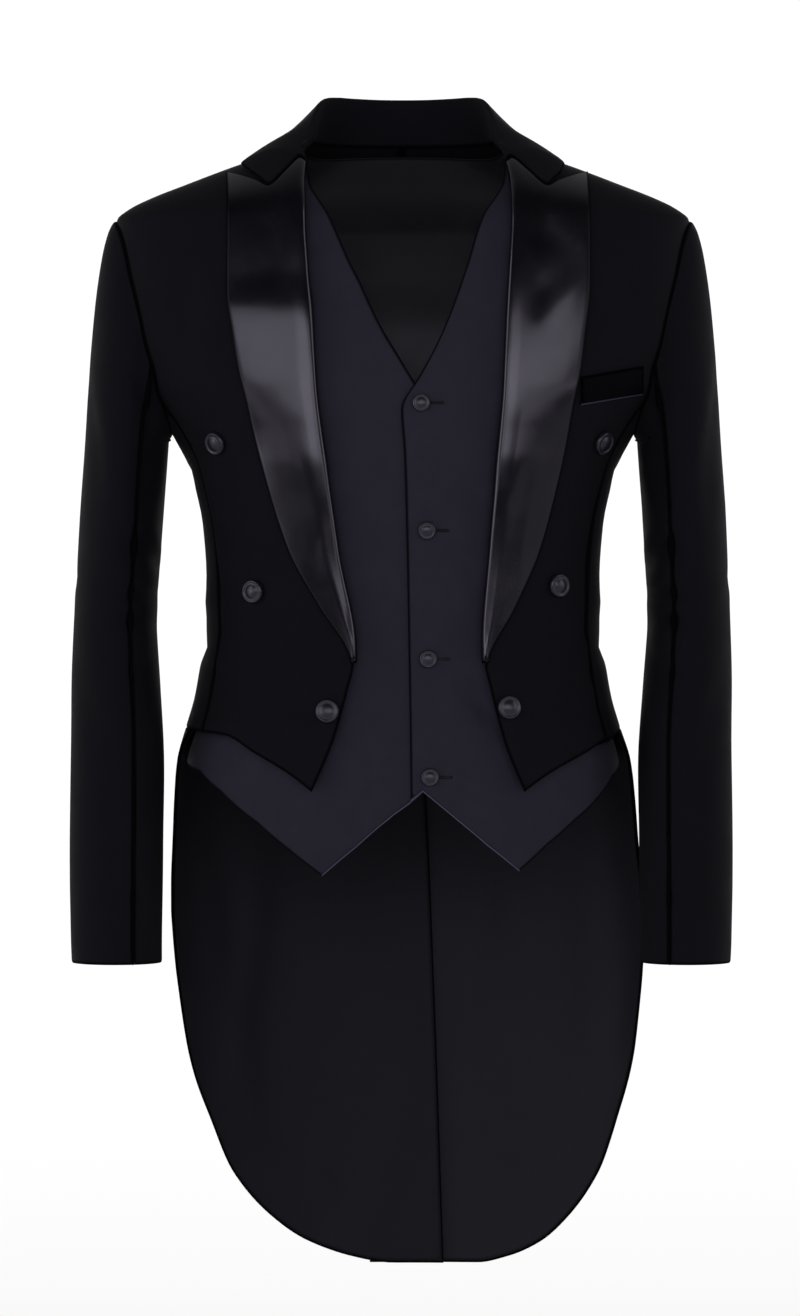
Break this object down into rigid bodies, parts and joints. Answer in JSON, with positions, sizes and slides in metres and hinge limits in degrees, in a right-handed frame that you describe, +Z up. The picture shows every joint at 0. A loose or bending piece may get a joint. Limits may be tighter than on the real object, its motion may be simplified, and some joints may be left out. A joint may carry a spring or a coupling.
{
  "type": "tailcoat suit",
  "caption": "Tailcoat with satin peaked lapels worn open over a buttoned waistcoat, hollow and shaped as if worn, with its sleeves hanging.",
  "frame": {"origin": "middle of the base of the wearer's neck, between the neck ends of the two shoulder seams", "axes": "+Z up, -Y towards the front of the suit, +X towards the wearer's left side"},
  "size_m": [0.553, 0.2426, 0.9932],
  "materials": {
    "coat_wool": "matt black barathea wool",
    "lapel_satin": "glossy black satin",
    "tail_lining": "soft black lining",
    "waistcoat_suiting": "fine charcoal suiting",
    "waistcoat_back_satin": "black lining satin",
    "covered_button": "satin covered"
  },
  "bodies": {
    "root": {"coat_front_left": "coat_wool", "coat_front_right": "coat_wool", "coat_side_body_left": "coat_wool", "coat_side_body_right": "coat_wool", "coat_back_left": "coat_wool", "coat_back_right": "coat_wool", "coat_tail_left": "coat_wool", "coat_tail_right": "coat_wool", "tail_lining_left": "tail_lining", "tail_lining_right": "tail_lining", "top_sleeve_left": "coat_wool", "top_sleeve_right": "coat_wool", "under_sleeve_left": "coat_wool", "under_sleeve_right": "coat_wool", "coat_collar": "coat_wool", "lapel_left": "lapel_satin", "lapel_right": "lapel_satin", "breast_welt": "lapel_satin", "coat_button_left_1": "covered_button", "coat_button_left_2": "covered_button", "coat_button_left_3": "covered_button", "coat_button_right_1": "covered_button", "coat_button_right_2": "covered_button", "coat_button_right_3": "covered_button", "waistcoat_front_left": "waistcoat_suiting", "waistcoat_front_right": "waistcoat_suiting", "waistcoat_back": "waistcoat_back_satin", "waistcoat_button_1": "covered_button", "waistcoat_button_2": "covered_button", "waistcoat_button_3": "covered_button", "waistcoat_button_4": "covered_button"}
  },
  "joints": []
}
